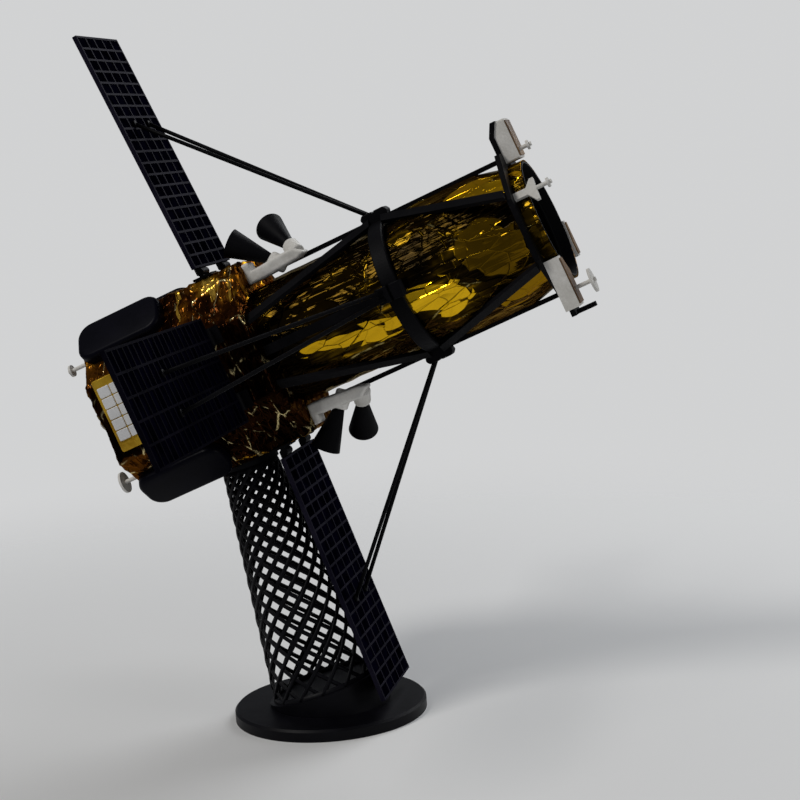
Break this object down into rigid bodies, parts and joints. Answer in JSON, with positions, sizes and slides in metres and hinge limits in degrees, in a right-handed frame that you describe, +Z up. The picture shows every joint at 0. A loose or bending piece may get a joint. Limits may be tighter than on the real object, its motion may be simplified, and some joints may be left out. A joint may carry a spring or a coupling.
{
  "type": "satellite display model",
  "caption": "Display model of an Earth-observation satellite: octagonal gold foil bus, trussed telescope tube and hinged solar wings, tilted on a leaning lattice column with a round base.",
  "frame": {"origin": "centre of the underside of the round base", "axes": "+Z up, +X level below the way the telescope points, +Y across to the far side's wing"},
  "size_m": [0.3686, 0.488, 0.473],
  "materials": {
    "gold_foil": "crinkled metallised foil",
    "black_plastic": "matt printed plastic",
    "liner_black": "matt",
    "wing_cells": "satin with a raised grid",
    "white_plastic": "matt printed plastic",
    "white_tiles": "smooth",
    "bronze_face": "satin",
    "stand_black": "satin"
  },
  "bodies": {
    "root": {"bus_body": "gold_foil", "front_deck": "gold_foil", "adapter_disc": "gold_foil", "chamfer_slabs": "black_plastic", "tile_plate": "gold_foil", "side_tiles": "white_tiles", "telescope_tube": "gold_foil", "aperture_liner": "liner_black", "middle_ring": "black_plastic", "lower_truss": "black_plastic", "upper_truss": "black_plastic", "front_frame": "black_plastic", "frame_pin": "black_plastic", "top_block": "white_plastic", "low_blocks": "white_plastic", "block_faces": "bronze_face", "collar_bracket": "white_plastic", "front_antennas": "white_plastic", "rear_antennas": "white_plastic", "stand_column": "stand_black", "stand_cap": "stand_black", "stand_base": "stand_black", "wing_up": "wing_cells", "hinges_up": "black_plastic", "rods_up": "black_plastic", "wing_near": "wing_cells", "hinges_near": "black_plastic", "rods_near": "black_plastic", "wing_down": "wing_cells", "hinges_down": "black_plastic", "rods_down": "black_plastic", "wing_far": "wing_cells", "hinges_far": "black_plastic", "rods_far": "black_plastic", "sensor_bracket_top": "white_plastic", "sensor_hoods_top": "black_plastic", "sensor_bracket_low": "white_plastic", "sensor_hoods_low": "black_plastic"}
  },
  "joints": []
}
